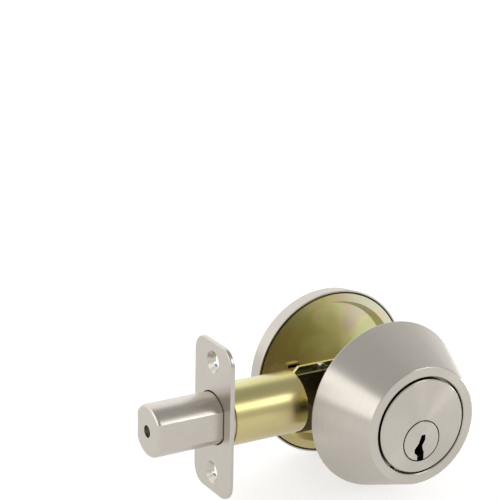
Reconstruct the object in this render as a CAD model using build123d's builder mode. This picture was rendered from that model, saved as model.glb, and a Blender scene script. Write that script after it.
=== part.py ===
from build123d import *
from math import cos, radians, sin, sqrt
import os

# A single-cylinder deadbolt lock, assembled as it sits in a door, with the bolt thrown.
# X runs from the door's edge to the cylinder, -Y is outside (key), +Y is inside (thumbturn), Z is up.
# The origin is where the bolt's axis crosses the axis of the door's large bore, mid-door.
os.makedirs("parts", exist_ok=True)

# Door and motion
door_thickness = 35.0
backset = 60.3  # door edge to the axis of the large bore
throw = 25.4  # how far the bolt comes out
turn_angle = 90.0  # key or thumbturn, from locked to unlocked
axis_drop = 5.5  # plug, hub and thumbturn share an axis this far below the bolt's

# Fits, as gaps on each side
running_fit = 0.1
seat_fit = 0.05
side_play = 0.2

# Outer housing
housing_r = 31.0
housing_lip_r = 21.6
housing_depth = 22.6
housing_wall = 2.4
housing_ring_depth = 3.0
housing_ring_bore_r = 17.9
housing_edge_r = 0.5
boss_r = 3.0
boss_bite = 1.0  # into the housing's wall, at the boss's deep end
boss_depth = 8.0
boss_angles = (90, 225, 315)

# Cylinder body and plug
head_gap = 0.8
head_proud = 0.3
head_chamfer = 0.3
flange_r = 19.4
flange_thickness = 2.0
barrel_r = 10.0
barrel_length = 23.0
ridge_width = 7.2
ridge_top = 13.5
leg_r = 3.0
leg_x = 11.5
leg_z = 5.5
plug_r = 6.45
plug_head_r = 7.2
plug_head_depth = 2.8
plug_gap = 0.42
plug_proud = 0.2
plug_chamfer = 0.15
plug_boss_r = 6.2
plug_boss_depth = 1.0
plug_groove_r = 5.0
plug_groove_width = 0.8
keyway_wall = 4.0  # solid brass behind the keyway, which takes the tailpiece
tail_pocket_depth = 3.4
drill_pin_r = 1.0
drill_pin_x = 9.6
drill_pin_length = 11.0
drill_pin_wall = 0.6

# The keyway's crooked outline about the plug's axis; it runs out at the plug's underside.
keyway_outline = (
    (-0.1, 2.2),
    (1.5, 2.2),
    (1.5, 0.3),
    (0.4, -1.6),
    (0.5, -2.8),
    (1.1, -4.2),
    (1.1, -9.0),
    (-1.6, -9.0),
    (-1.6, -5.2),
    (-2.7, -4.2),
    (-2.9, -2.8),
    (-1.2, -0.8),
)

# Pin stacks
pin_lengths = (4.2, 5.0, 4.6, 5.5, 4.8)
pin_pitch = 4.0
first_pin = 2.8  # behind the plug's head
pin_r = 1.38
pin_tip = 0.6
chamber_gap = 0.12
shear_gap = 0.2
driver_length = 5.5
spring_coil_r = 1.0
spring_wire_r = 0.17
spring_pitch = 0.85
cover_strip_width = 3.6
cover_strip_thickness = 1.0

# Back plate of the housing and its fasteners
back_plate_thickness = 1.4
back_plate_gap = 0.1
post_r = 3.4
post_collar_r = 4.4
post_collar_depth = 1.5
post_depth = 9.0
small_screw_r = 1.25
small_head_r = 2.6
small_head_height = 0.9
small_screw_reach = 6.0

# Mounting screws
mount_screw_x = 19.0
mount_screw_r = 2.0
mount_head_r = 4.0
mount_head_height = 1.9
mount_screw_grip = 8.0  # thread inside the post
mount_hole_r = 2.6
recess_width = 0.9

# Faceplate, its backing and the tube
faceplate_width = 25.4
faceplate_height = 56.0
faceplate_corner_r = 6.35
faceplate_thickness = 1.4
faceplate_edge_r = 0.5
backing_width = 21.6
backing_height = 51.0
backing_thickness = 1.2
backing_corner_r = 4.0
plate_hole_spacing = 41.3
plate_hole_r = 2.5
countersink_r = 4.1
bolt_gap = 0.4
collar_r = 10.8
collar_thickness = 0.6
collar_gap = 0.5  # open groove between the collar and the tube
collar_spigot = 6.0
tube_r = 11.1
tube_wall = 0.8
tube_edge_r = 0.25
guide_thickness = 1.4
guide_gap = 0.3

# Bolt and its tail
bolt_r = 9.35
bolt_thickness = 15.88  # across its two flats
bolt_kept = 5.3  # length still held when thrown
bolt_edge_r = 1.3
core_hole_r = 2.2
core_recess = 2.8
core_wall = 0.9
core_chamfer = 0.4
tail_thickness = 2.0
tail_low = 1.0
tail_high = 7.6
tail_in_bolt = 7.0
tail_pin_r = 1.2
tail_pin_inset = 3.4
fork_prong = 2.1
fork_play = 0.65  # takes up the pin's sine motion over the turn

# Hub and cranks
hub_core_r = 5.0
hub_core_width = 2.8
hub_seat_r = 4.4
hub_journal_r = 3.9
hub_end = 1.0
arm_thickness = 1.2
arm_hub_r = 5.4
arm_end_r = 2.7
crank_pin_r = 1.5

# Case behind the tube
case_plate_thickness = 1.2
case_half_height = 11.0
case_rear = 24.0
case_corner_r = 5.0
case_pad_top = 5.6
case_pad_thickness = 0.35
case_pad_inset = 1.5
case_tab_low = -6.0
case_tab_high = -1.0
rivet_r = 1.2
rivet_spacer_r = 1.8
rivet_head_r = 2.2
rivet_head_height = 0.8
rivet_inset = 2.8
rivet_z = 7.8
rivet_low_x = 11.0
case_nose_cut = 4.4  # off the inner plate's upper front corner

# Tailpiece
tailpiece_width = 2.4
tailpiece_height = 6.0

# Inside: mounting plate, rose cover and thumbturn
sheet = 1.2
rose_drop = 0.5  # the mounting plate and its cover sit this far below the housing
flange_outer_r = 30.3
flange_inner_r = 27.3
dish_r = 25.6
dish_depth = 3.8
dish_wall = 0.8
dish_hole_r = 7.0
slot_length = 5.0
slot_width = 1.2
slot_lip = 0.65
slot_lip_height = 0.8
slot_x = -14.7
slot_z = 3.9
lug_width = 6.0
lug_thickness = 1.8
lug_out_r = 27.6
lug_wall = 0.8  # behind the set screw
rose_r = 31.4
rose_wall = 0.5
rose_rim = 0.8
rose_depth = 8.0
rose_front_r = 30.2
rose_edge_r = 1.6
set_screw_r = 1.4
set_screw_depth = 4.5  # from the door's face
set_screw_inset = 0.3  # its end below the cover's outside
turn_shaft_r = 6.0
turn_base_r = 9.5
turn_base_thickness = 2.2
turn_gap = 0.3
turn_shaft_proud = 1.3  # shaft end past the dish, towards the door
turn_grip_length = 31.0
turn_grip_width = 8.0
turn_grip_height = 15.0
turn_grip_edge_r = 1.8
turn_groove_r = 5.2
bushing_wall = 1.0
bushing_flange_r = 9.0
bushing_flange_thickness = 1.0
clip_thickness = 0.8
clip_r = 8.0
clip_play = 0.2
clip_mouth = 6.0

# Places worked out from the sizes above
outside_face = -door_thickness / 2
inside_face = door_thickness / 2
front_y = outside_face - housing_depth
ring_back_y = front_y + housing_ring_depth
flange_back_y = ring_back_y + flange_thickness
barrel_back_y = flange_back_y + barrel_length - flange_thickness
head_front_y = front_y - head_proud
plug_front_y = head_front_y - plug_proud
plug_shoulder_y = plug_front_y + plug_head_depth
plug_end_y = barrel_back_y + plug_groove_width + plug_boss_depth
keyway_end_y = plug_end_y - keyway_wall
plate_back_y = outside_face - small_head_height - side_play
plate_front_y = plate_back_y - back_plate_thickness
plug_bore_r = plug_r + running_fit
shear_z = -axis_drop + plug_bore_r
bolt_length = throw + bolt_kept
bolt_front_x = -backset - throw
bolt_rear_x = bolt_front_x + bolt_length
guide_front_x = -backset + bolt_length + guide_gap
tube_end_x = guide_front_x + guide_thickness
backing_x = -backset + faceplate_thickness
collar_x = backing_x + backing_thickness
tube_start_x = collar_x + collar_thickness + collar_gap
tube_bore_r = tube_r - tube_wall
crank_r = throw / 2 / sin(radians(turn_angle / 2))
pin_x = -throw / 2
pin_z = crank_r * cos(radians(turn_angle / 2)) - axis_drop
arm_inner_y = hub_core_width / 2
arm_outer_y = arm_inner_y + arm_thickness
case_inner_y = arm_outer_y + side_play
case_outer_y = case_inner_y + case_plate_thickness
fork_half = crank_pin_r + fork_play + fork_prong
dish_y = inside_face + dish_depth
dish_back_y = dish_y + sheet
lug_screw_y = inside_face + set_screw_depth
lug_back_y = lug_screw_y + set_screw_r + lug_wall
rose_front_y = inside_face + rose_depth
rose_inner_y = rose_front_y - rose_wall
rose_taper = (rose_r - rose_front_r) / (rose_depth - rose_rim)
set_screw_out_r = rose_r - rose_taper * (set_screw_depth - rose_rim) - set_screw_inset
bushing_back_y = rose_inner_y - bushing_flange_thickness
clip_front_y = bushing_back_y - clip_play
clip_back_y = clip_front_y - clip_thickness
shaft_end_y = dish_y - turn_shaft_proud
tailpiece_end_y = clip_front_y
turn_base_y = rose_front_y + turn_gap
plug_axis = Axis((0, 0, -axis_drop), (0, 1, 0))
rose_axis = Axis((0, 0, -rose_drop), (0, 1, 0))
countersink_depth = countersink_r - plate_hole_r



def housing_inner_r(y):
    """Radius of the housing's inner cone at y."""
    share = (y - ring_back_y) / (outside_face - ring_back_y)
    return flange_r + head_gap + share * (housing_r - housing_wall - flange_r - head_gap)


plate_r = housing_inner_r(plate_front_y) - back_plate_gap
boss_place_r = housing_inner_r(plate_front_y - boss_depth) + boss_bite - boss_r

# Places of the repeated features
boss_places = [(boss_place_r * cos(radians(a)), boss_place_r * sin(radians(a))) for a in boss_angles]
leg_places = [(-leg_x, leg_z), (leg_x, leg_z)]
post_places = [(-mount_screw_x, -axis_drop), (mount_screw_x, -axis_drop)]
plate_hole_places = [(0, -plate_hole_spacing / 2), (0, plate_hole_spacing / 2)]
rivet_places = [
    (-rivet_low_x, -rivet_z),
    (rivet_low_x, -rivet_z),
    (case_rear - rivet_inset, rivet_z),
]
pin_places = [plug_shoulder_y + first_pin + i * pin_pitch for i in range(len(pin_lengths))]
pin_centres = [(0, y) for y in pin_places]
cover_strip_y = (pin_places[0] + pin_places[-1]) / 2
cover_strip_length = pin_places[-1] - pin_places[0] + pin_pitch
drill_pin_y = flange_back_y - drill_pin_wall - drill_pin_r
drill_places = [(-drill_pin_x, drill_pin_y), (drill_pin_x, drill_pin_y)]


def at_y(y):
    """Plane across the door at y: sketches read (x, z) and extrude towards the outside."""
    return Plane.XZ.offset(-y)


def at_x(x):
    """Plane across the bolt's axis at x: sketches read (y, z) and extrude away from the door's edge."""
    return Plane.YZ.offset(x)


def save(part, name):
    part.label = name
    export_step(part, f"parts/{name}.step")


def bolt_outline(gap):
    """The bolt's round section with two flats, grown by a gap."""
    Circle(bolt_r + gap)
    Rectangle(bolt_thickness + 2 * gap, 4 * bolt_r, mode=Mode.INTERSECT)


# ---------------------------------------------------------------- outside: the housing
with BuildPart() as outer_housing:
    with BuildSketch(Plane.XY):
        with BuildLine():
            Polyline(
                (housing_r, outside_face),
                (housing_lip_r, front_y),
                (housing_ring_bore_r, front_y),
                (housing_ring_bore_r, ring_back_y),
                (flange_r + head_gap, ring_back_y),
                (housing_r - housing_wall, outside_face),
                close=True,
            )
        make_face()
    revolve(axis=Axis.Y)
    rims = outer_housing.edges().filter_by(GeomType.CIRCLE)
    fillet(rims.filter_by(lambda edge: abs(edge.radius - housing_lip_r) < 0.01), housing_edge_r)
    rims = outer_housing.edges().filter_by(GeomType.CIRCLE)
    fillet(rims.filter_by(lambda edge: abs(edge.radius - housing_r) < 0.01), housing_edge_r)
    front_rims = outer_housing.edges().filter_by(GeomType.CIRCLE).group_by(Axis.Y)[0]
    chamfer(front_rims.sort_by(SortBy.RADIUS)[0], head_chamfer)
    with BuildSketch(at_y(plate_front_y)):
        with Locations(*boss_places):
            Circle(boss_r)
    extrude(amount=boss_depth)
    with BuildSketch(at_y(plate_front_y)):
        with Locations(*boss_places):
            Circle(small_screw_r)
    extrude(amount=small_screw_reach + 0.5, mode=Mode.SUBTRACT)
save(outer_housing.part, "outer_housing")

# ---------------------------------------------------------------- outside: cylinder, plug and pins
with BuildPart() as cylinder_body:
    with BuildSketch(at_y(ring_back_y)):
        Circle(housing_ring_bore_r - head_gap)
    extrude(amount=ring_back_y - head_front_y)
    chamfer(cylinder_body.edges().group_by(Axis.Y)[0], head_chamfer)
    with BuildSketch(at_y(flange_back_y)):
        Circle(flange_r)
    extrude(amount=flange_thickness)
    with BuildSketch(at_y(barrel_back_y)):
        with Locations((0, -axis_drop)):
            Circle(barrel_r)
        with Locations((0, (ridge_top - axis_drop) / 2)):
            Rectangle(ridge_width, ridge_top + axis_drop)
    extrude(amount=barrel_back_y - flange_back_y)
    with BuildSketch(at_y(plate_front_y)):
        with Locations(*leg_places):
            Circle(leg_r)
    extrude(amount=plate_front_y - flange_back_y)
    with BuildSketch(at_y(barrel_back_y)):
        with Locations((0, -axis_drop)):
            Circle(plug_bore_r)
    extrude(amount=barrel_back_y - front_y, mode=Mode.SUBTRACT)
    with BuildSketch(at_y(plug_shoulder_y + side_play)):
        with Locations((0, -axis_drop)):
            Circle(plug_head_r + plug_gap)
    extrude(amount=2 * plug_head_depth, mode=Mode.SUBTRACT)
    with BuildSketch(Plane.XY.offset(ridge_top)):
        with Locations(*pin_centres):
            Circle(pin_r + chamber_gap)
    extrude(amount=-(ridge_top + axis_drop), mode=Mode.SUBTRACT)
    with BuildSketch(Plane.XY.offset(ridge_top)):
        with Locations((0, cover_strip_y)):
            Rectangle(cover_strip_width, cover_strip_length)
    extrude(amount=-cover_strip_thickness, mode=Mode.SUBTRACT)
    with BuildSketch(at_y(plate_front_y)):
        with Locations(*leg_places):
            Circle(small_screw_r)
    extrude(amount=small_screw_reach + 0.5, mode=Mode.SUBTRACT)
    with BuildSketch(Plane.XY.offset(-flange_r)):
        with Locations(*drill_places):
            Circle(drill_pin_r)
    extrude(amount=flange_r, mode=Mode.SUBTRACT)
save(cylinder_body.part, "cylinder_body")

with BuildPart() as anti_drill_pins:
    with BuildSketch(Plane.XY):
        with Locations(*drill_places):
            Circle(drill_pin_r)
    extrude(amount=-drill_pin_length)
save(anti_drill_pins.part, "anti_drill_pins")

with BuildPart() as key_plug:
    with BuildSketch(Plane.XY.offset(-axis_drop)):
        with BuildLine():
            Polyline(
                (0, plug_front_y),
                (plug_head_r, plug_front_y),
                (plug_head_r, plug_shoulder_y),
                (plug_r, plug_shoulder_y),
                (plug_r, barrel_back_y),
                (plug_groove_r, barrel_back_y),
                (plug_groove_r, barrel_back_y + plug_groove_width),
                (plug_boss_r, barrel_back_y + plug_groove_width),
                (plug_boss_r, plug_end_y),
                (0, plug_end_y),
                close=True,
            )
        make_face()
    revolve(axis=plug_axis)
    chamfer(key_plug.edges().group_by(Axis.Y)[0], plug_chamfer)
    with BuildSketch(at_y(keyway_end_y)):
        with BuildLine():
            Polyline(*[(x, z - axis_drop) for x, z in keyway_outline], close=True)
        make_face()
    extrude(amount=keyway_end_y - plug_front_y, mode=Mode.SUBTRACT)
    with BuildSketch(Plane.XY.offset(-axis_drop)):
        with Locations(*pin_centres):
            Circle(pin_r + chamber_gap)
    extrude(amount=plug_r, mode=Mode.SUBTRACT)
    with BuildSketch(at_y(plug_end_y)):
        with Locations((0, -axis_drop)):
            Rectangle(tailpiece_width + 2 * running_fit, tailpiece_height + 2 * running_fit)
    extrude(amount=tail_pocket_depth, mode=Mode.SUBTRACT)
save(key_plug.part, "key_plug")

with BuildPart() as plug_retainer_clip:
    with BuildSketch(at_y(barrel_back_y + plug_groove_width - running_fit)):
        with Locations((0, -axis_drop)):
            Circle(clip_r)
            Circle(plug_groove_r, mode=Mode.SUBTRACT)
        with Locations((0, -axis_drop - clip_r)):
            Rectangle(clip_mouth, 2 * plug_groove_r, mode=Mode.SUBTRACT)
    extrude(amount=plug_groove_width - 2 * running_fit)
save(plug_retainer_clip.part, "plug_retainer_clip")

with BuildPart() as key_pins:
    top = sqrt(plug_r**2 - pin_r**2) - axis_drop
    for y, length in zip(pin_places, pin_lengths):
        with BuildSketch(Plane.XY.offset(top - length + pin_tip)):
            with Locations((0, y)):
                Circle(pin_r)
        extrude(amount=length - pin_tip)
        with BuildSketch(Plane.XY.offset(top - length + pin_tip)):
            with Locations((0, y)):
                Circle(pin_r)
        extrude(amount=-pin_tip, taper=45)
save(key_pins.part, "key_pins")

driver_low = shear_z + shear_gap
with BuildPart() as driver_pins:
    with BuildSketch(Plane.XY.offset(driver_low)):
        with Locations(*pin_centres):
            Circle(pin_r)
    extrude(amount=driver_length)
save(driver_pins.part, "driver_pins")

spring_low = driver_low + driver_length + 1.5 * spring_wire_r
spring_high = ridge_top - cover_strip_thickness - 1.5 * spring_wire_r
with BuildPart() as pin_springs:
    for y in pin_places:
        with BuildLine(Plane((0, y, spring_low))) as coil:
            Helix(pitch=spring_pitch, height=spring_high - spring_low, radius=spring_coil_r)
        with BuildSketch(Plane(origin=coil.line @ 0, z_dir=coil.line % 0)):
            Circle(spring_wire_r)
        sweep(path=coil.line)
save(pin_springs.part, "pin_springs")

with BuildPart() as chamber_cover:
    with BuildSketch(Plane.XY.offset(ridge_top)):
        with Locations((0, cover_strip_y)):
            Rectangle(cover_strip_width, cover_strip_length)
    extrude(amount=-cover_strip_thickness)
save(chamber_cover.part, "chamber_cover")

# ---------------------------------------------------------------- outside: back plate and fasteners
with BuildPart() as back_plate:
    with BuildSketch(at_y(plate_back_y)):
        Circle(plate_r)
        with Locations((0, -axis_drop)):
            Circle(barrel_r + side_play, mode=Mode.SUBTRACT)
        with Locations((0, ridge_top / 2)):
            Rectangle(ridge_width + 2 * side_play, ridge_top + 2 * side_play, mode=Mode.SUBTRACT)
        with Locations(*leg_places):
            Circle(small_screw_r, mode=Mode.SUBTRACT)
        with Locations(*boss_places):
            Circle(small_screw_r, mode=Mode.SUBTRACT)
        with Locations(*post_places):
            Circle(post_r, mode=Mode.SUBTRACT)
    extrude(amount=back_plate_thickness)
save(back_plate.part, "back_plate")

with BuildPart() as screw_posts:
    with BuildSketch(at_y(plate_back_y)):
        with Locations(*post_places):
            Circle(post_r)
    extrude(amount=back_plate_thickness + post_depth)
    with BuildSketch(at_y(plate_front_y)):
        with Locations(*post_places):
            Circle(post_collar_r)
    extrude(amount=post_collar_depth)
    with BuildSketch(at_y(plate_back_y)):
        with Locations(*post_places):
            Circle(mount_screw_r + seat_fit)
    extrude(amount=back_plate_thickness + post_depth, mode=Mode.SUBTRACT)
save(screw_posts.part, "screw_posts")


def small_screws(places):
    """Pan-head screws through the back plate, with a cross recess."""
    with BuildPart() as screws:
        with BuildSketch(at_y(plate_back_y + small_head_height)):
            with Locations(*places):
                Circle(small_head_r)
        extrude(amount=small_head_height)
        with BuildSketch(at_y(plate_back_y)):
            with Locations(*places):
                Circle(small_screw_r - seat_fit)
        extrude(amount=back_plate_thickness + small_screw_reach)
        with BuildSketch(at_y(plate_back_y + small_head_height)):
            with Locations(*places):
                Rectangle(small_head_r, recess_width / 2)
                Rectangle(recess_width / 2, small_head_r)
        extrude(amount=small_head_height / 2, mode=Mode.SUBTRACT)
    return screws.part


save(small_screws(boss_places), "plate_screws")
save(small_screws(leg_places), "cylinder_screws")

with BuildPart() as tailpiece:
    with BuildSketch(at_y(tailpiece_end_y)):
        with Locations((0, -axis_drop)):
            Rectangle(tailpiece_width, tailpiece_height)
    extrude(amount=tailpiece_end_y - plug_end_y + tail_pocket_depth - side_play)
save(tailpiece.part, "tailpiece")

# ---------------------------------------------------------------- door edge: faceplate and tube
with BuildPart() as faceplate:
    with BuildSketch(at_x(-backset)):
        RectangleRounded(faceplate_width, faceplate_height, faceplate_corner_r)
    extrude(amount=faceplate_thickness)
    fillet(faceplate.faces().sort_by(Axis.X)[0].edges(), faceplate_edge_r)
    with BuildSketch(at_x(-backset)):
        bolt_outline(bolt_gap)
    extrude(amount=faceplate_thickness, mode=Mode.SUBTRACT)
    with BuildSketch(at_x(-backset)):
        with Locations(*plate_hole_places):
            Circle(countersink_r)
    extrude(amount=countersink_depth, taper=45, mode=Mode.SUBTRACT)
    with BuildSketch(at_x(-backset)):
        with Locations(*plate_hole_places):
            Circle(plate_hole_r)
    extrude(amount=faceplate_thickness, mode=Mode.SUBTRACT)
save(faceplate.part, "faceplate")

with BuildPart() as faceplate_backing:
    with BuildSketch(at_x(backing_x)):
        RectangleRounded(backing_width, backing_height, backing_corner_r)
    extrude(amount=backing_thickness)
    with BuildSketch(at_x(backing_x)):
        bolt_outline(bolt_gap)
        with Locations(*plate_hole_places):
            Circle(plate_hole_r)
    extrude(amount=backing_thickness, mode=Mode.SUBTRACT)
    with BuildSketch(at_x(-backset)):
        with Locations(*plate_hole_places):
            Circle(countersink_r)
    extrude(amount=countersink_depth, taper=45, mode=Mode.SUBTRACT)
save(faceplate_backing.part, "faceplate_backing")

with BuildPart() as front_collar:
    with BuildSketch(at_x(collar_x)):
        Circle(collar_r)
    extrude(amount=collar_thickness)
    with BuildSketch(at_x(collar_x)):
        Circle(tube_bore_r)
    extrude(amount=collar_thickness + collar_gap + collar_spigot)
    with BuildSketch(at_x(collar_x)):
        bolt_outline(bolt_gap)
    extrude(amount=collar_thickness + collar_gap + collar_spigot, mode=Mode.SUBTRACT)
save(front_collar.part, "front_collar")

with BuildPart() as latch_tube:
    with BuildSketch(at_x(tube_start_x)):
        Circle(tube_r)
    extrude(amount=tube_end_x - tube_start_x)
    fillet(latch_tube.edges().filter_by(GeomType.CIRCLE), tube_edge_r)
    with BuildSketch(at_x(tube_start_x)):
        Circle(tube_bore_r)
    extrude(amount=tube_end_x - tube_start_x, mode=Mode.SUBTRACT)
save(latch_tube.part, "latch_tube")

tab_y = (case_inner_y + case_outer_y) / 2
tab_z = (case_tab_low + case_tab_high) / 2
tab_height = case_tab_high - case_tab_low
with BuildPart() as tube_end_guide:
    with BuildSketch(at_x(guide_front_x)):
        Circle(tube_bore_r)
        with Locations((0, (tail_low + tail_high) / 2)):
            Rectangle(
                tail_thickness + 2 * side_play,
                tail_high - tail_low + 2 * side_play,
                mode=Mode.SUBTRACT,
            )
        with Locations((-tab_y, tab_z), (tab_y, tab_z)):
            Rectangle(case_plate_thickness, tab_height, mode=Mode.SUBTRACT)
    extrude(amount=guide_thickness)
save(tube_end_guide.part, "tube_end_guide")

# ---------------------------------------------------------------- bolt and its tail
tail_end_x = bolt_rear_x - tail_in_bolt
tail_pin_x = bolt_rear_x - tail_pin_inset
tail_pin_z = (tail_low + tail_high) / 2
tail_pin_chord = sqrt(bolt_r**2 - (tail_pin_z + tail_pin_r) ** 2)
tail_pin_half = min(bolt_thickness / 2, tail_pin_chord) - side_play
core_end_x = tail_end_x - core_wall
with BuildPart() as bolt:
    with BuildSketch(at_x(bolt_front_x)):
        bolt_outline(0)
    extrude(amount=bolt_length)
    fillet(bolt.faces().sort_by(Axis.X)[0].edges(), bolt_edge_r)
    with BuildSketch(at_x(bolt_front_x)):
        Circle(core_hole_r)
    extrude(amount=core_end_x - bolt_front_x, mode=Mode.SUBTRACT)
    with BuildSketch(at_x(bolt_rear_x)):
        with Locations((0, tail_pin_z)):
            Rectangle(tail_thickness + 2 * seat_fit, tail_high - tail_low + 2 * seat_fit)
    extrude(amount=-(tail_in_bolt + seat_fit), mode=Mode.SUBTRACT)
    with BuildSketch(at_y(bolt_thickness / 2)):
        with Locations((tail_pin_x, tail_pin_z)):
            Circle(tail_pin_r)
    extrude(amount=bolt_thickness, mode=Mode.SUBTRACT)
save(bolt.part, "bolt")

with BuildPart() as bolt_core_pin:
    with BuildSketch(at_x(core_end_x)):
        Circle(core_hole_r - seat_fit)
    extrude(amount=-(core_end_x - bolt_front_x - core_recess))
    chamfer(bolt_core_pin.edges().group_by(Axis.X)[0], core_chamfer)
save(bolt_core_pin.part, "bolt_core_pin")

with BuildPart() as bolt_tail_pin:
    with BuildSketch(at_y(tail_pin_half)):
        with Locations((tail_pin_x, tail_pin_z)):
            Circle(tail_pin_r)
    extrude(amount=2 * tail_pin_half)
save(bolt_tail_pin.part, "bolt_tail_pin")

fork_floor_z = pin_z - crank_pin_r - 0.5
fork_top_z = crank_r - axis_drop - 0.2
with BuildPart() as bolt_tail:
    with BuildSketch(at_y(tail_thickness / 2)):
        with BuildLine():
            Polyline(
                (tail_end_x, tail_low),
                (pin_x + fork_half, tail_low),
                (pin_x + fork_half, fork_top_z),
                (pin_x + fork_half - fork_prong, fork_top_z),
                (pin_x + fork_half - fork_prong, fork_floor_z),
                (pin_x - fork_half + fork_prong, fork_floor_z),
                (pin_x - fork_half + fork_prong, fork_top_z),
                (pin_x - fork_half, fork_top_z),
                (pin_x - fork_half, tail_high),
                (tail_end_x, tail_high),
                close=True,
            )
        make_face()
    extrude(amount=tail_thickness)
    fillet(bolt_tail.edges().filter_by(Axis.Y).group_by(Axis.Z)[-1], fork_prong * 0.4)
    with BuildSketch(at_y(tail_thickness / 2)):
        with Locations((tail_pin_x, tail_pin_z)):
            Circle(tail_pin_r)
    extrude(amount=tail_thickness, mode=Mode.SUBTRACT)
save(bolt_tail.part, "bolt_tail")

# ---------------------------------------------------------------- hub, cranks and case
hub_length = case_outer_y + hub_end
with BuildPart() as hub:
    with BuildSketch(Plane.XY.offset(-axis_drop)):
        with BuildLine():
            Polyline(
                (0, 0),
                (hub_core_r, 0),
                (hub_core_r, arm_inner_y),
                (hub_seat_r, arm_inner_y),
                (hub_seat_r, arm_outer_y),
                (hub_journal_r, arm_outer_y),
                (hub_journal_r, hub_length),
                (0, hub_length),
                close=True,
            )
        make_face()
        mirror(about=Plane.XZ)
    revolve(axis=plug_axis)
    with BuildSketch(at_y(hub_length)):
        with Locations((0, -axis_drop)):
            Rectangle(tailpiece_width + 2 * seat_fit, tailpiece_height + 2 * seat_fit)
    extrude(amount=2 * hub_length, mode=Mode.SUBTRACT)
save(hub.part, "hub")

with BuildPart() as crank_arms:
    for y in (arm_outer_y, -arm_inner_y):
        with BuildSketch(at_y(y)):
            with Locations((0, -axis_drop)):
                Circle(arm_hub_r)
            with Locations((pin_x, pin_z)):
                Circle(arm_end_r)
            make_hull()
            with Locations((0, -axis_drop)):
                Circle(hub_seat_r, mode=Mode.SUBTRACT)
            with Locations((pin_x, pin_z)):
                Circle(crank_pin_r, mode=Mode.SUBTRACT)
        extrude(amount=arm_thickness)
save(crank_arms.part, "crank_arms")

with BuildPart() as crank_pin:
    with BuildSketch(at_y(arm_outer_y + side_play / 2)):
        with Locations((pin_x, pin_z)):
            Circle(crank_pin_r)
    extrude(amount=2 * arm_outer_y + side_play)
save(crank_pin.part, "crank_pin")


for name, side in (("outer_case_side", -1), ("inner_case_side", 1)):
    inner_y = side * case_inner_y
    outer_y = side * case_outer_y
    with BuildPart() as case_plate:
        with BuildSketch(at_y(max(inner_y, outer_y))):
            with Locations(((tube_end_x + case_rear) / 2, 0)):
                Rectangle(case_rear - tube_end_x, 2 * case_half_height)
            with Locations(((guide_front_x + tube_end_x) / 2, tab_z)):
                Rectangle(guide_thickness, tab_height)
        extrude(amount=case_plate_thickness)
        fillet(case_plate.edges().filter_by(Axis.Y).group_by(Axis.X)[-1], case_corner_r)
        if name == "inner_case_side":
            upper_corners = case_plate.edges().filter_by(Axis.Y).group_by(Axis.Z)[-1]
            chamfer(upper_corners.sort_by(Axis.X)[0], case_nose_cut)
        with BuildSketch(at_y(max(outer_y, outer_y + side * case_pad_thickness))):
            with Locations(((tube_end_x + case_rear) / 2, (case_pad_top - case_half_height) / 2)):
                Rectangle(
                    case_rear - tube_end_x - 2 * case_pad_inset,
                    case_pad_top + case_half_height - 2 * case_pad_inset,
                )
        extrude(amount=case_pad_thickness)
        with BuildSketch(at_y(case_outer_y + case_pad_thickness)):
            with Locations((0, -axis_drop)):
                Circle(hub_journal_r + running_fit)
            with Locations(*post_places):
                Circle(mount_hole_r)
            with Locations(*rivet_places):
                Circle(rivet_r)
        extrude(amount=2 * (case_outer_y + case_pad_thickness), mode=Mode.SUBTRACT)
    save(case_plate.part, name)

with BuildPart() as case_rivets:
    with BuildSketch(at_y(case_inner_y)):
        with Locations(*rivet_places):
            Circle(rivet_spacer_r)
    extrude(amount=2 * case_inner_y)
    with BuildSketch(at_y(case_outer_y + case_pad_thickness)):
        with Locations(*rivet_places):
            Circle(rivet_r)
    extrude(amount=2 * (case_outer_y + case_pad_thickness))
    for y in (case_outer_y + case_pad_thickness + rivet_head_height, -case_outer_y - case_pad_thickness):
        with BuildSketch(at_y(y)):
            with Locations(*rivet_places):
                Circle(rivet_head_r)
        extrude(amount=rivet_head_height)
save(case_rivets.part, "case_rivets")

# ---------------------------------------------------------------- inside: mounting plate and rose
lug_z = -lug_out_r - rose_drop
set_screw_z = -set_screw_out_r - rose_drop
with BuildPart() as mounting_plate:
    with BuildSketch(Plane.XY.offset(-rose_drop)):
        with BuildLine():
            Polyline(
                (0, dish_y),
                (dish_r, dish_y),
                (flange_inner_r, inside_face),
                (flange_outer_r, inside_face),
                (flange_outer_r, inside_face + sheet),
                (flange_inner_r + dish_wall, inside_face + sheet),
                (dish_r + dish_wall, dish_back_y),
                (0, dish_back_y),
                close=True,
            )
        make_face()
    revolve(axis=rose_axis)
    with BuildSketch(at_y(dish_y)):
        with Locations((slot_x, slot_z - rose_drop)):
            SlotOverall(slot_length + 2 * slot_lip, slot_width + 2 * slot_lip)
    extrude(amount=slot_lip_height)
    with BuildSketch(at_y(lug_back_y)):
        with Locations((0, lug_z + lug_thickness / 2)):
            Rectangle(lug_width, lug_thickness)
    extrude(amount=lug_back_y - dish_y)
    with BuildSketch(at_y(dish_back_y)):
        with Locations((slot_x, slot_z - rose_drop)):
            SlotOverall(slot_length, slot_width)
        with Locations((0, -axis_drop)):
            Circle(dish_hole_r)
        with Locations(*post_places):
            Circle(mount_hole_r)
    extrude(amount=sheet + slot_lip_height, mode=Mode.SUBTRACT)
    with BuildSketch(Plane.XY.offset(lug_z)):
        with Locations((0, lug_screw_y)):
            Circle(set_screw_r)
    extrude(amount=lug_thickness, mode=Mode.SUBTRACT)
save(mounting_plate.part, "mounting_plate")

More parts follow.
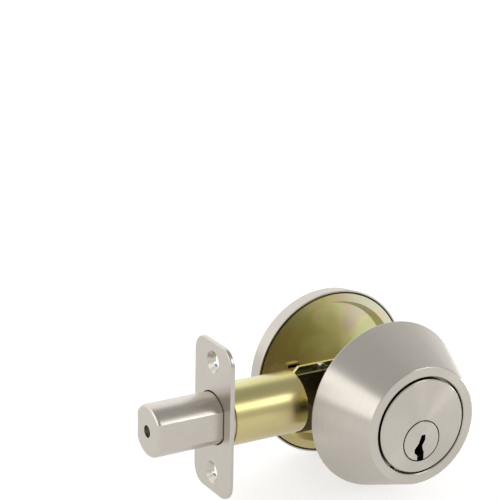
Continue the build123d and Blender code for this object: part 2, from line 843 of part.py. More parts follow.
with BuildPart() as rose_cover:
    with BuildSketch(Plane.XY.offset(-rose_drop)):
        with BuildLine():
            Polyline(
                (0, rose_inner_y),
                (rose_front_r - rose_wall, rose_inner_y),
                (rose_r - rose_wall, inside_face + rose_rim),
                (rose_r - rose_wall, inside_face),
                (rose_r, inside_face),
                (rose_r, inside_face + rose_rim),
                (rose_front_r, rose_front_y),
                (0, rose_front_y),
                close=True,
            )
        make_face()
    revolve(axis=rose_axis)
    rims = rose_cover.edges().filter_by(GeomType.CIRCLE)
    fillet(rims.filter_by(lambda edge: abs(edge.radius - rose_front_r) < 0.01), rose_edge_r)
    with BuildSketch(at_y(rose_front_y)):
        with Locations((0, -axis_drop)):
            Circle(turn_shaft_r + running_fit + bushing_wall)
    extrude(amount=rose_wall, mode=Mode.SUBTRACT)
    with BuildSketch(Plane.XY.offset(-rose_r - rose_drop)):
        with Locations((0, lug_screw_y)):
            Circle(set_screw_r + seat_fit)
    extrude(amount=rose_r / 2, mode=Mode.SUBTRACT)
save(rose_cover.part, "rose_cover")

with BuildPart() as cover_set_screw:
    with BuildSketch(Plane.XY.offset(lug_z + lug_thickness)):
        with Locations((0, lug_screw_y)):
            Circle(set_screw_r)
    extrude(amount=-(lug_z + lug_thickness - set_screw_z))
    with BuildSketch(Plane.XY.offset(set_screw_z)):
        with Locations((0, lug_screw_y)):
            RegularPolygon(set_screw_r / 2, 6)
    extrude(amount=set_screw_r, mode=Mode.SUBTRACT)
save(cover_set_screw.part, "cover_set_screw")

with BuildPart() as mounting_screws:
    with BuildSketch(at_y(dish_back_y + mount_head_height)):
        with Locations(*post_places):
            Circle(mount_head_r)
    extrude(amount=mount_head_height)
    with BuildSketch(at_y(dish_back_y)):
        with Locations(*post_places):
            Circle(mount_screw_r)
    extrude(amount=dish_back_y - plate_back_y + mount_screw_grip)
    with BuildSketch(at_y(dish_back_y + mount_head_height)):
        with Locations(*post_places):
            Rectangle(mount_head_r, recess_width)
            Rectangle(recess_width, mount_head_r)
    extrude(amount=mount_head_height / 2, mode=Mode.SUBTRACT)
save(mounting_screws.part, "mounting_screws")

with BuildPart() as thumbturn_bushing:
    with BuildSketch(at_y(rose_front_y)):
        with Locations((0, -axis_drop)):
            Circle(turn_shaft_r + running_fit + bushing_wall)
    extrude(amount=rose_wall)
    with BuildSketch(at_y(rose_inner_y)):
        with Locations((0, -axis_drop)):
            Circle(bushing_flange_r)
    extrude(amount=bushing_flange_thickness)
    with BuildSketch(at_y(rose_front_y)):
        with Locations((0, -axis_drop)):
            Circle(turn_shaft_r + running_fit)
    extrude(amount=rose_front_y - bushing_back_y, mode=Mode.SUBTRACT)
save(thumbturn_bushing.part, "thumbturn_bushing")

with BuildPart() as thumbturn:
    with BuildSketch(Plane.XY.offset(-axis_drop)):
        with BuildLine():
            Polyline(
                (0, shaft_end_y),
                (turn_shaft_r, shaft_end_y),
                (turn_shaft_r, clip_back_y),
                (turn_groove_r, clip_back_y),
                (turn_groove_r, clip_front_y),
                (turn_shaft_r, clip_front_y),
                (turn_shaft_r, turn_base_y),
                (turn_base_r, turn_base_y),
                (turn_base_r, turn_base_y + turn_base_thickness),
                (0, turn_base_y + turn_base_thickness),
                close=True,
            )
        make_face()
    revolve(axis=plug_axis)
    fillet(thumbturn.edges().filter_by(GeomType.CIRCLE).group_by(Axis.Y)[-1], turn_base_thickness / 3)
    with BuildSketch(at_y(turn_base_y + turn_base_thickness)):
        with Locations((0, -axis_drop)):
            SlotOverall(turn_grip_length, turn_grip_width)
    extrude(amount=-turn_grip_height, taper=3)
    fillet(thumbturn.faces().sort_by(Axis.Y)[-1].edges(), turn_grip_edge_r)
    with BuildSketch(at_y(tailpiece_end_y + running_fit)):
        with Locations((0, -axis_drop)):
            Rectangle(tailpiece_width + 2 * seat_fit, tailpiece_height + 2 * seat_fit)
    extrude(amount=tailpiece_end_y + running_fit - shaft_end_y, mode=Mode.SUBTRACT)
save(thumbturn.part, "thumbturn")

with BuildPart() as thumbturn_clip:
    with BuildSketch(at_y(clip_front_y)):
        with Locations((0, -axis_drop)):
            Circle(clip_r)
            Circle(turn_groove_r, mode=Mode.SUBTRACT)
        with Locations((0, -axis_drop - clip_r)):
            Rectangle(clip_mouth, 2 * turn_groove_r, mode=Mode.SUBTRACT)
    extrude(amount=clip_thickness)
save(thumbturn_clip.part, "thumbturn_clip")
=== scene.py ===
# %% [markdown]
# # A deadbolt, finished
# The lock arrives as exact metal parts: housing, cylinder, bolt, rose and everything between them.
# Shapes that come from a lathe or a press are already right, so they stay as they are, and this lesson is
# about what makes plated metal look like plated metal: brushing, plating colour, soft light and soft edges.

# %% Load the lock
import math

import bpy
from mathutils import Matrix, Vector


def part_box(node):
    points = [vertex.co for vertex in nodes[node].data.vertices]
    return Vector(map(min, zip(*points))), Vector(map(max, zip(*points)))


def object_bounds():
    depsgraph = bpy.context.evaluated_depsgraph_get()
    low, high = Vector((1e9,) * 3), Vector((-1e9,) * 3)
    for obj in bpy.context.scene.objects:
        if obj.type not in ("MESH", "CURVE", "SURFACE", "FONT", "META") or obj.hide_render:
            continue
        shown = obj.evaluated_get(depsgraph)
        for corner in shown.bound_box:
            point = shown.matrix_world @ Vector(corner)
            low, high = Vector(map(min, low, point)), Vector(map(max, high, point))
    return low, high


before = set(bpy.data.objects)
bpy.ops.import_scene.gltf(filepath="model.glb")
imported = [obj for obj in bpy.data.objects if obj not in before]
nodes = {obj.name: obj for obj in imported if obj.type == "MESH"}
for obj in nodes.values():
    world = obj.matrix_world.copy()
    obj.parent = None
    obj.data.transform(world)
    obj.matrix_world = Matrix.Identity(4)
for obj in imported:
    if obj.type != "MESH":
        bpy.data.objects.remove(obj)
cad_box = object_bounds()
print("parts:", len(nodes), "box:", cad_box)

# %% [markdown]
# ## Helpers for materials
# Every finish is a node tree, and writing each node out in full would hide the idea. So a few helpers come
# first: one adds a node and sets its values, and the others each stand for one common node.

# %% Node helpers
def add(tree, kind, place, **values):
    """Adds a node, sets attributes by name and sockets by their label."""
    node = tree.nodes.new(kind)
    node.location = place
    for name, value in values.items():
        if hasattr(node, name):
            setattr(node, name, value)
        else:
            node.inputs[name.replace("_", " ")].default_value = value
    return node


def math_node(tree, operation, place, *values):
    """A Math node whose inputs are sockets or plain numbers."""
    node = add(tree, "ShaderNodeMath", place, operation=operation)
    for slot, value in zip(node.inputs, values):
        if isinstance(value, bpy.types.NodeSocket):
            tree.links.new(value, slot)
        else:
            slot.default_value = value
    return node.outputs[0]


def remap(tree, place, value, source=(0.0, 1.0), target=(0.0, 1.0), curve="LINEAR"):
    """A Map Range node from one range to another."""
    node = add(tree, "ShaderNodeMapRange", place, interpolation_type=curve)
    for label, number in zip(("From Min", "From Max", "To Min", "To Max"), (*source, *target)):
        node.inputs[label].default_value = number
    tree.links.new(value, node.inputs["Value"])
    return node.outputs["Result"]


def color_ramp(tree, place, factor, stops):
    """A Color Ramp node; stops are (position, colour)."""
    node = add(tree, "ShaderNodeValToRGB", place)
    elements = node.color_ramp.elements
    for position, color in stops[1:-1]:
        elements.new(position)
    for element, (position, color) in zip(elements, stops):
        element.position = position
        element.color = (*color, 1)
    tree.links.new(factor, node.inputs["Fac"])
    return node.outputs["Color"]


def mix_color(tree, place, factor, under, over):
    """A Mix node from the colour socket under to the plain colour over."""
    node = add(tree, "ShaderNodeMix", place, data_type="RGBA")
    color_inputs = [socket for socket in node.inputs if socket.type == "RGBA"]
    color_outputs = [socket for socket in node.outputs if socket.type == "RGBA"]
    tree.links.new(factor, node.inputs["Factor"])
    tree.links.new(under, color_inputs[0])
    color_inputs[1].default_value = (*over, 1)
    return color_outputs[0]


print("helpers ready")

# %% [markdown]
# ## Helpers for node groups
# The same brushing serves many parts. A node group is built once, with named inputs and outputs, and each
# material places it with its own values. That keeps the parts alike where they were made alike.

# %% Group helpers
FLOAT, COLOR = "NodeSocketFloat", "NodeSocketColor"


def new_group(name, inputs, outputs):
    """A shader node group; inputs are (label, socket type, default), outputs (label, socket type)."""
    group = bpy.data.node_groups.new(name, "ShaderNodeTree")
    for label, kind, default in inputs:
        socket = group.interface.new_socket(label, in_out="INPUT", socket_type=kind)
        socket.default_value = default
    for label, kind in outputs:
        group.interface.new_socket(label, in_out="OUTPUT", socket_type=kind)
    start = add(group, "NodeGroupInput", (-900, 0))
    end = add(group, "NodeGroupOutput", (700, 0))
    return group, start, end


def use_group(tree, group, place, **values):
    """Places a group in a material and sets its inputs."""
    node = add(tree, "ShaderNodeGroup", place)
    node.node_tree = group
    for name, value in values.items():
        node.inputs[name.replace("_", " ")].default_value = value
    return node


print("group helpers ready")

# %% [markdown]
# ## Brushing that runs in rings
# The housing, the cylinder's face and the rose are brushed on a lathe, so their scratches are rings round
# the axis. Noise does this if it is fed the radius instead of the place: it then changes quickly from ring
# to ring and hardly at all along one. The plug is centred lower, so the rings' height is an input. The
# group also gives an unevenness that changes with the angle, and it gives the radius and how the surface
# faces, which pick out the gap walls for the painted shade.

# %% Ring brushing group
def ring_brushing():
    group, start, end = new_group(
        "ring_brushing",
        [("Centre Height", FLOAT, 0.0), ("Rings per Metre", FLOAT, 9000.0), ("Along", FLOAT, 1.5)],
        [
            ("Scratches", FLOAT),
            ("Cloud", FLOAT),
            ("Fan", FLOAT),
            ("Radius", FLOAT),
            ("Facing", FLOAT),
        ],
    )
    place = add(group, "ShaderNodeTexCoord", (-900, 250))
    parts = add(group, "ShaderNodeSeparateXYZ", (-720, 250))
    group.links.new(place.outputs["Object"], parts.inputs[0])
    height = math_node(group, "SUBTRACT", (-540, 120), parts.outputs["Z"], start.outputs["Centre Height"])
    across = math_node(group, "MULTIPLY", (-360, 260), parts.outputs["X"], parts.outputs["X"])
    upright = math_node(group, "MULTIPLY", (-360, 120), height, height)
    squared = math_node(group, "ADD", (-180, 200), across, upright)
    radius = math_node(group, "SQRT", (-20, 200), squared)
    ring = math_node(group, "MULTIPLY", (140, 200), radius, start.outputs["Rings per Metre"])
    angle = math_node(group, "ARCTAN2", (-180, -20), height, parts.outputs["X"])
    turn = math_node(group, "MULTIPLY", (0, -20), angle, start.outputs["Along"])
    depth = math_node(group, "MULTIPLY", (0, -160), parts.outputs["Y"], start.outputs["Rings per Metre"])
    vector = add(group, "ShaderNodeCombineXYZ", (300, 80))
    for socket, value in zip(vector.inputs, (ring, turn, depth)):
        group.links.new(value, socket)
    noise = add(group, "ShaderNodeTexNoise", (460, 120), Scale=1.0, Detail=3.0, Roughness=0.65)
    group.links.new(vector.outputs[0], noise.inputs["Vector"])
    cloud = add(group, "ShaderNodeTexNoise", (460, -140), Scale=55.0, Detail=2.0)
    group.links.new(place.outputs["Object"], cloud.inputs["Vector"])
    wedges = add(group, "ShaderNodeTexNoise", (460, -380), noise_dimensions="1D", Scale=1.1, Detail=1.0)
    group.links.new(angle, wedges.inputs["W"])
    surface = add(group, "ShaderNodeNewGeometry", (-900, -300))
    normal = add(group, "ShaderNodeSeparateXYZ", (-700, -300))
    group.links.new(surface.outputs["Normal"], normal.inputs[0])
    facing = math_node(group, "ABSOLUTE", (-500, -300), normal.outputs["Y"])
    group.links.new(noise.outputs["Fac"], end.inputs["Scratches"])
    group.links.new(cloud.outputs["Fac"], end.inputs["Cloud"])
    group.links.new(wedges.outputs["Fac"], end.inputs["Fan"])
    group.links.new(radius, end.inputs["Radius"])
    group.links.new(facing, end.inputs["Facing"])
    return group


RINGS = ring_brushing()
print("made", RINGS.name)

# %% [markdown]
# ## Brushing that runs straight
# The bolt and the faceplate are brushed along their length. Here the noise is simply stretched: the place
# is multiplied by a large number across the grain and by a small one along it.

# %% Straight brushing group
def straight_brushing():
    group, start, end = new_group(
        "straight_brushing",
        [("Grain X", FLOAT, 100.0), ("Grain Y", FLOAT, 6000.0), ("Grain Z", FLOAT, 6000.0)],
        [("Scratches", FLOAT), ("Cloud", FLOAT)],
    )
    place = add(group, "ShaderNodeTexCoord", (-900, 250))
    grain = add(group, "ShaderNodeCombineXYZ", (-600, 0))
    for socket, label in zip(grain.inputs, ("Grain X", "Grain Y", "Grain Z")):
        group.links.new(start.outputs[label], socket)
    stretch = add(group, "ShaderNodeVectorMath", (-300, 150), operation="MULTIPLY")
    group.links.new(place.outputs["Object"], stretch.inputs[0])
    group.links.new(grain.outputs[0], stretch.inputs[1])
    noise = add(group, "ShaderNodeTexNoise", (0, 150), Scale=1.0, Detail=3.0, Roughness=0.6)
    group.links.new(stretch.outputs[0], noise.inputs["Vector"])
    cloud = add(group, "ShaderNodeTexNoise", (0, -140), Scale=60.0, Detail=2.0)
    group.links.new(place.outputs["Object"], cloud.inputs["Vector"])
    group.links.new(noise.outputs["Fac"], end.inputs["Scratches"])
    group.links.new(cloud.outputs["Fac"], end.inputs["Cloud"])
    return group


GRAIN = straight_brushing()
print("made", GRAIN.name)

# %% [markdown]
# ## Bare metal, then brushed
# Metal is the simplest setting of the Principled shader: its colour is the colour of its reflections. What
# makes it look brushed is small change: a little in the shade from scratch to scratch, a slow change in
# how sharp the reflections are, and a bump of a few thousandths of a millimetre.

# %% Metal and brushing
SCRATCH_DEPTH = 0.000004
FINE_SCRATCH_DEPTH = 0.000003
SCRATCH_TINT = 0.06


def metal(name, color, roughness, anisotropy=0.0, turned=0.0):
    """A plain metal material; returns it with its tree and shader for more work."""
    material = bpy.data.materials.new(name)
    material.use_nodes = True
    tree = material.node_tree
    shader = tree.nodes["Principled BSDF"]
    shader.inputs["Base Color"].default_value = (*color, 1.0)
    shader.inputs["Metallic"].default_value = 1.0
    shader.inputs["Roughness"].default_value = roughness
    shader.inputs["Anisotropic"].default_value = anisotropy
    shader.inputs["Anisotropic Rotation"].default_value = turned
    shader.location, tree.nodes["Material Output"].location = (300, 0), (600, 0)
    return material, tree, shader


def finish_surface(tree, shader, uneven, rough_range, bumps, depth):
    """Sets the roughness from one mask and the bump from another."""
    rough = remap(tree, (-400, 0), uneven, target=rough_range)
    tree.links.new(rough, shader.inputs["Roughness"])
    bump = add(tree, "ShaderNodeBump", (-400, -250), Strength=1.0, Distance=depth)
    tree.links.new(bumps, bump.inputs["Height"])
    tree.links.new(bump.outputs["Normal"], shader.inputs["Normal"])


def brush(tree, shader, group, color, rough_range, depth):
    """Feeds a brushing group into roughness, colour and bump; returns the colour socket."""
    dark = [c * (1 - SCRATCH_TINT) for c in color]
    light = [min(1, c * (1 + SCRATCH_TINT)) for c in color]
    shades = color_ramp(tree, (-400, 300), group.outputs["Scratches"], [(0.3, dark), (0.7, light)])
    tree.links.new(shades, shader.inputs["Base Color"])
    uneven = group.outputs["Fan"] if "Fan" in group.outputs else group.outputs["Cloud"]
    finish_surface(tree, shader, uneven, rough_range, group.outputs["Scratches"], depth)
    return shades


print("scratch depth in metres:", SCRATCH_DEPTH)

# %% [markdown]
# ## Painted shade on the walls in the narrow gaps
# The straight walls inside the thin ring gaps get painted shade: a near-black colour stands in for the
# shadow deep in the gaps, and that draws the thin rings on the face. A mask finds them: they face away from
# the axis, inside a given radius.

# %% Painted shade in the gap walls
# painted shade: the colour that stands in for the shadow deep in the thin ring gaps
PAINTED_GAP_SHADE = (0.045, 0.035, 0.028)


def paint_gap_shade(tree, shader, group, shades, gap_radius):
    """Painted shade: a near-black colour where a straight wall stands inside the given radius."""
    wall = remap(tree, (-400, 700), group.outputs["Facing"], source=(0.30, 0.15))
    inside = math_node(tree, "LESS_THAN", (-400, 500), group.outputs["Radius"], gap_radius)
    # painted shade mask: straight walls inside the radius get the near-black colour in place of shadow
    painted_shade_mask = math_node(tree, "MULTIPLY", (-200, 600), wall, inside)
    walls = mix_color(tree, (0, 400), painted_shade_mask, shades, PAINTED_GAP_SHADE)
    tree.links.new(walls, shader.inputs["Base Color"])


print("gap walls:", PAINTED_GAP_SHADE)

# %% [markdown]
# ## Satin nickel
# Nickel is a warm grey metal. Brushed in rings it spreads a highlight across the rings, which gives a flat
# face its fan of light and a cone its long streaks. The Principled shader does this with anisotropy, along
# a tangent that runs round the part's axis, turned a quarter so that the spread crosses the scratches.

# %% Satin nickel makers
NICKEL = (0.598, 0.557, 0.499)
QUARTER_TURN = 0.25


def nickel_in_rings(name, centre=0.0, anisotropy=0.75, gap_radius=0.0):
    material, tree, shader = metal(name, NICKEL, 0.34, anisotropy, QUARTER_TURN)
    group = use_group(tree, RINGS, (-700, 0), Centre_Height=centre)
    shades = brush(tree, shader, group, NICKEL, (0.30, 0.38), SCRATCH_DEPTH)
    # painted shade: near-black colour on the straight walls inside the ring gaps
    if gap_radius:
        paint_gap_shade(tree, shader, group, shades, gap_radius)
    tangent = add(tree, "ShaderNodeTangent", (-400, -500), direction_type="RADIAL", axis="Y")
    tree.links.new(tangent.outputs["Tangent"], shader.inputs["Tangent"])
    return material


def nickel_along(name, grain):
    material, tree, shader = metal(name, NICKEL, 0.30)
    group = use_group(tree, GRAIN, (-700, 0), Grain_X=grain[0], Grain_Y=grain[1], Grain_Z=grain[2])
    brush(tree, shader, group, NICKEL, (0.26, 0.34), SCRATCH_DEPTH)
    return material


print("nickel:", NICKEL)

# %% [markdown]
# ## Yellow zinc
# Zinc plate dipped in chromate is a thin clear film over metal. The film's thickness changes slowly over
# the surface, and with it the colour: mostly olive gold, drifting to brown, green and pink. A slow noise,
# a slope across the part and a change towards its rim pick the place on a colour ramp, so that neighbouring
# parts drift differently but never suddenly. On the mounting plate the slope is painted reflection: it
# drifts the colour paler to the right and upwards, where the plate reflects the bright room, and browner low
# at the left, where it reflects the housing's back; the rim change makes the plate paler towards its edge. A
# clear coat stands for the film's own pale shine.

# %% Chromate film group
FILM_COLORS = [
    (0.00, (0.50, 0.38, 0.24)),
    (0.18, (0.66, 0.52, 0.30)),
    (0.34, (0.63, 0.53, 0.24)),
    (0.50, (0.60, 0.53, 0.21)),
    (0.66, (0.64, 0.66, 0.30)),
    (0.80, (0.78, 0.76, 0.38)),
    (0.90, (0.80, 0.66, 0.46)),
    (1.00, (0.72, 0.72, 0.52)),
]


def chromate_film():
    group, start, end = new_group(
        "chromate_film",
        [
            ("Drift Scale", FLOAT, 30.0),
            ("Drift", FLOAT, 0.5),
            ("Start", FLOAT, 0.35),
            ("Slope X", FLOAT, 0.0),
            ("Slope Z", FLOAT, 0.0),
            ("Rim", FLOAT, 0.0),
        ],
        [("Color", COLOR), ("Cloud", FLOAT)],
    )
    place = add(group, "ShaderNodeTexCoord", (-900, 250))
    noise = add(group, "ShaderNodeTexNoise", (-500, 200), Detail=1.5, Roughness=0.4, Distortion=0.6)
    group.links.new(place.outputs["Object"], noise.inputs["Vector"])
    group.links.new(start.outputs["Drift Scale"], noise.inputs["Scale"])
    centred = math_node(group, "SUBTRACT", (-300, 200), noise.outputs["Fac"], 0.5)
    spread = math_node(group, "MULTIPLY", (-120, 200), centred, start.outputs["Drift"])
    noisy = math_node(group, "ADD", (60, 200), spread, start.outputs["Start"])
    parts = add(group, "ShaderNodeSeparateXYZ", (-500, 450))
    group.links.new(place.outputs["Object"], parts.inputs[0])
    sideways = math_node(group, "MULTIPLY", (-300, 500), parts.outputs["X"], start.outputs["Slope X"])
    upward = math_node(group, "MULTIPLY", (-300, 350), parts.outputs["Z"], start.outputs["Slope Z"])
    slope = math_node(group, "ADD", (-120, 420), sideways, upward)
    across = math_node(group, "MULTIPLY", (-300, 800), parts.outputs["X"], parts.outputs["X"])
    upright = math_node(group, "MULTIPLY", (-300, 650), parts.outputs["Z"], parts.outputs["Z"])
    outward = math_node(group, "ADD", (-120, 700), across, upright)
    rim = math_node(group, "MULTIPLY", (40, 650), outward, start.outputs["Rim"])
    sloped = math_node(group, "ADD", (160, 450), slope, rim)
    film = math_node(group, "ADD", (160, 300), noisy, sloped)
    shades = color_ramp(group, (260, 200), film, FILM_COLORS)
    group.links.new(shades, end.inputs["Color"])
    fine = add(group, "ShaderNodeTexNoise", (-500, -150), Scale=90.0, Detail=1.0)
    group.links.new(place.outputs["Object"], fine.inputs["Vector"])
    group.links.new(fine.outputs["Fac"], end.inputs["Cloud"])
    return group


FILM = chromate_film()
print("made", FILM.name, "with", len(FILM_COLORS), "colours")

# %% Yellow zinc maker
def yellow_zinc(name, drift_scale, drift, start, slope=(0.0, 0.0), rough_range=(0.22, 0.30), rim=0.0):
    material, tree, shader = metal(name, (0.5, 0.46, 0.22), 0.3)
    film = use_group(
        tree,
        FILM,
        (-700, 0),
        Drift_Scale=drift_scale,
        Drift=drift,
        Start=start,
        Slope_X=slope[0],
        Slope_Z=slope[1],
        Rim=rim,
    )
    tree.links.new(film.outputs["Color"], shader.inputs["Base Color"])
    shader.inputs["Coat Weight"].default_value = 0.6
    shader.inputs["Coat IOR"].default_value = 1.7
    shader.inputs["Coat Roughness"].default_value = 0.3
    cloud = film.outputs["Cloud"]
    finish_surface(tree, shader, cloud, rough_range, cloud, FINE_SCRATCH_DEPTH)
    return material


print("yellow zinc maker ready")

# %% [markdown]
# ## The plainer metals
# Inner parts are bright zinc, hardened steel or brass. They share the straight brushing, only with other
# colours, so that a part seen through a gap still has some life in it.

# %% Plain metals
EVEN_GRAIN = 2500


def plain_metal(name, color, rough_range):
    material, tree, shader = metal(name, color, rough_range[0])
    group = use_group(tree, GRAIN, (-700, 0), Grain_X=EVEN_GRAIN, Grain_Y=EVEN_GRAIN, Grain_Z=EVEN_GRAIN)
    brush(tree, shader, group, color, rough_range, FINE_SCRATCH_DEPTH)
    return material


print("plain metal maker ready")

# %% [markdown]
# ## Nylon
# The thumbturn runs in a small white nylon bushing. Nylon lets a little light in, so it gets some subsurface
# scattering and a faint mottle, and no metal at all.

# %% Nylon

def nylon():
    material = bpy.data.materials.new("nylon")
    material.use_nodes = True
    tree = material.node_tree
    shader = tree.nodes["Principled BSDF"]
    shader.inputs["Subsurface Weight"].default_value = 0.1
    shader.inputs["Roughness"].default_value = 0.5
    cloud = add(tree, "ShaderNodeTexNoise", (-600, 0), Scale=500.0, Detail=3.0)
    mottle = [(0.0, (0.74, 0.72, 0.66)), (1.0, (0.86, 0.85, 0.80))]
    shades = color_ramp(tree, (-400, 0), cloud.outputs["Fac"], mottle)
    tree.links.new(shades, shader.inputs["Base Color"])
    return material


print("nylon maker ready")

# %% [markdown]
# ## Dressing the parts
# Each part gets its material by name. Round parts carry the ring brushing about their own centre, and each
# yellow part starts at its own place on the film's ramp, as parts from different baskets do.

# %% Dress the nickel parts
PLUG_HEIGHT = (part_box("key_plug")[0].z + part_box("key_plug")[1].z) / 2
ALONG_X = (300, 6000, 6000)
ALONG_Z = (6000, 6000, 300)


def dress(material, *names):
    for name in names:
        nodes[name].data.materials.clear()
        nodes[name].data.materials.append(material)


dress(nickel_in_rings("satin_nickel_housing", gap_radius=0.0185), "outer_housing")
dress(nickel_in_rings("satin_nickel_face", anisotropy=0.85, gap_radius=0.02), "cylinder_body")
dress(nickel_in_rings("satin_nickel_plug", PLUG_HEIGHT, gap_radius=0.01), "key_plug")
dress(nickel_in_rings("satin_nickel_rose"), "rose_cover")
dress(nickel_along("satin_nickel_turn", ALONG_X), "thumbturn")
dress(nickel_along("satin_nickel_bolt", ALONG_X), "bolt")
dress(nickel_along("satin_nickel_plate", ALONG_Z), "faceplate")
dress(nickel_in_rings("satin_nickel_collar"), "front_collar")
print("plug axis height:", PLUG_HEIGHT)

# %% Dress the yellow parts
TUBE_FILM = yellow_zinc("yellow_zinc_tube", 40, 0.5, 0.42, (0.0, 8.0), (0.25, 0.32))
dress(TUBE_FILM, "latch_tube", "tube_end_guide")
# painted reflection: the plate's slope drifts it paler to the right and up and browner low at the left, for
# what it reflects; the rim change lightens its edge
PLATE_FILM_AND_PAINTED_REFLECTION = yellow_zinc("yellow_zinc_plate_painted_reflection", 70, 0.9, 0.46, (12.0, 6.0), (0.30, 0.42), rim=260.0)
dress(PLATE_FILM_AND_PAINTED_REFLECTION, "mounting_plate")
dress(yellow_zinc("yellow_zinc_case", 30, 0.5, 0.4), "inner_case_side", "back_plate")
print("yellow parts dressed")

# %% Dress the inner parts
ZINC = plain_metal("bright_zinc", (0.62, 0.62, 0.60), (0.25, 0.36))
dress(ZINC, "faceplate_backing", "bolt_tail", "hub", "crank_arms", "tailpiece", "mounting_screws")
dress(ZINC, "plate_screws", "cylinder_screws", "case_rivets", "screw_posts")
# painted reflection: the near case side gets a near-black colour that stands in for its reflection of the
# housing's dark inside
dress(plain_metal("dark_steel", (0.17, 0.14, 0.095), (0.22, 0.34)), "outer_case_side")
HARD = plain_metal("hard_steel", (0.25, 0.24, 0.23), (0.28, 0.4))
dress(HARD, "bolt_core_pin", "anti_drill_pins", "crank_pin", "bolt_tail_pin", "pin_springs")
dress(HARD, "plug_retainer_clip", "thumbturn_clip", "cover_set_screw")
BRASS = plain_metal("turned_brass", (0.72, 0.53, 0.26), (0.25, 0.35))
dress(BRASS, "key_pins", "driver_pins", "chamber_cover")
dress(nylon(), "thumbturn_bushing")
print("materials:", len(bpy.data.materials))

# %% [markdown]
# ## Floor
# A lock is shown on white. The floor is a wide pale sheet at the height of the lowest rim. It glows
# a little, as a lit table does, so that the metal's underside has something bright to show.

# %% Floor
FLOOR_REACH = 4.0
FLOOR_HEIGHT = cad_box[0].z


def studio_floor():
    mesh = bpy.data.meshes.new("studio_floor")
    signs = ((-1, -1), (1, -1), (1, 1), (-1, 1))
    corners = [(x * FLOOR_REACH, y * FLOOR_REACH, FLOOR_HEIGHT) for x, y in signs]
    mesh.from_pydata(corners, [], [(0, 1, 2, 3)])
    floor = bpy.data.objects.new("studio_floor", mesh)
    bpy.context.collection.objects.link(floor)
    material = bpy.data.materials.new("floor_paper")
    material.use_nodes = True
    tree = material.node_tree
    shader = tree.nodes["Principled BSDF"]
    shader.inputs["Base Color"].default_value = (0.6, 0.6, 0.6, 1)
    shader.inputs["Roughness"].default_value = 0.9
    shader.inputs["Specular IOR Level"].default_value = 0.1
    shader.inputs["Emission Color"].default_value = (1, 1, 1, 1)
    rays = add(tree, "ShaderNodeLightPath", (-500, -300))
    glow = remap(tree, (-250, -300), rays.outputs["Is Camera Ray"], target=(0.44, 0.62))
    tree.links.new(glow, shader.inputs["Emission Strength"])
    mesh.materials.append(material)


studio_floor()
print("floor height:", FLOOR_HEIGHT)

# %% [markdown]
# ## Lamps
# Metal shows what is around it more than it shows light, so each lamp stands where a long highlight should
# come from: one far left for the cone, a low one at the right for the fan on the face, and one in front at
# the right for the streak along the tube and the bolt. Directions are given as an azimuth and an elevation.

# %% Lamps
LAMP_DISTANCE = 0.6


def direction(azimuth, elevation):
    """The way out from the lock: azimuth from the front towards the right, elevation up."""
    a, e = math.radians(azimuth), math.radians(elevation)
    return Vector((math.sin(a) * math.cos(e), -math.cos(a) * math.cos(e), math.sin(e)))


def softbox(name, azimuth, elevation, size, power):
    """An area light that faces the lock."""
    light = bpy.data.lights.new(name, "AREA")
    light.shape = "RECTANGLE"
    light.size, light.size_y = size
    light.energy = power
    lamp = bpy.data.objects.new(name, light)
    back = direction(azimuth, elevation)
    lamp.location = back * LAMP_DISTANCE
    lamp.rotation_mode = "QUATERNION"
    lamp.rotation_quaternion = back.to_track_quat("Z", "Y")
    bpy.context.collection.objects.link(lamp)
    print(name, [round(v, 3) for v in lamp.location])


softbox("left_softbox", -95, 21, (0.5, 0.36), 0.72)
softbox("side_softbox", 78, 2, (0.4, 0.08), 0.7)
softbox("front_softbox", 34, 35, (0.22, 0.21), 0.45)

# %% [markdown]
# ## The room around
# The world is a soft gradient, dimmer overhead and brightest behind the lock, where the paper would be. The
# camera itself meets plain white, as in a catalogue picture: a Light Path node tells its rays from the rest.

# %% World
SKY_LEVELS = [(-1.0, 0.62), (0.0, 0.64), (0.25, 0.60), (0.6, 0.50), (0.8, 0.46), (1.0, 0.45)]
BACKDROP = (1.25, 1.25, 1.25)


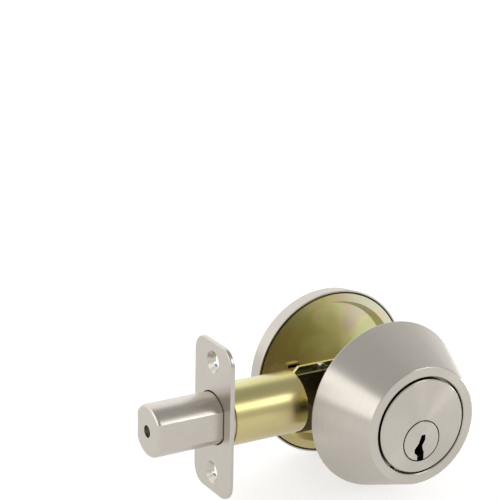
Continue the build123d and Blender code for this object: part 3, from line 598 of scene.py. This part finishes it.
def studio_world():
    """Brighter near the horizon than overhead; the view itself meets white paper."""
    world = bpy.data.worlds.new("studio")
    bpy.context.scene.world = world
    world.use_nodes = True
    tree = world.node_tree
    around = tree.nodes["Background"]
    place = add(tree, "ShaderNodeTexCoord", (-1100, 0))
    parts = add(tree, "ShaderNodeSeparateXYZ", (-900, 0))
    tree.links.new(place.outputs["Generated"], parts.inputs[0])
    height = remap(tree, (-650, -50), parts.outputs["Z"], source=(-1.0, 1.0))
    sky = color_ramp(tree, (-450, 0), height, [((z + 1) / 2, (level,) * 3) for z, level in SKY_LEVELS])
    behind = remap(tree, (-650, -350), parts.outputs["Y"], source=(0.25, 0.6), curve="SMOOTHSTEP")
    backdrop = mix_color(tree, (-150, -50), behind, sky, BACKDROP)
    tree.links.new(backdrop, around.inputs["Color"])
    paper = add(tree, "ShaderNodeBackground", (100, -200))
    paper.inputs["Color"].default_value = (1, 1, 1, 1)
    rays = add(tree, "ShaderNodeLightPath", (100, 300))
    choose = add(tree, "ShaderNodeMixShader", (350, 0))
    tree.links.new(rays.outputs["Is Camera Ray"], choose.inputs[0])
    tree.links.new(around.outputs[0], choose.inputs[1])
    tree.links.new(paper.outputs[0], choose.inputs[2])
    tree.links.new(choose.outputs[0], tree.nodes["World Output"].inputs["Surface"])


studio_world()
bpy.context.scene.view_settings.view_transform = "Standard"
print("world made, backdrop level", BACKDROP[0])

# %% [markdown]
# ## Camera
# The lock is seen from its outside, from the left and a little above, through a long lens, so that its
# round parts keep their shape.

# %% Camera
def aim_camera(azimuth, elevation, roll, distance, aim, lens):
    a, r = math.radians(azimuth), math.radians(roll)
    back = direction(azimuth, elevation)
    right = Vector((math.cos(a), math.sin(a), 0))
    up = back.cross(right)
    across = right * math.cos(r) + up * math.sin(r)
    upward = up * math.cos(r) - right * math.sin(r)
    camera = bpy.data.objects.new("camera", bpy.data.cameras.new("camera"))
    camera.data.lens = lens
    camera.data.sensor_width = 36.0
    camera.data.clip_start = 0.05
    camera.matrix_world = Matrix.Translation(aim + back * distance) @ Matrix(
        (across, upward, back)
    ).transposed().to_4x4()
    bpy.context.collection.objects.link(camera)
    bpy.context.scene.camera = camera
    print("camera at", [round(v, 4) for v in camera.matrix_world.translation])


aim_camera(
    azimuth=-30.75,
    elevation=18.41,
    roll=1.14,
    distance=0.698,
    aim=Vector((-0.0264, 0.0336, 0.0461)),
    lens=138.9,
)
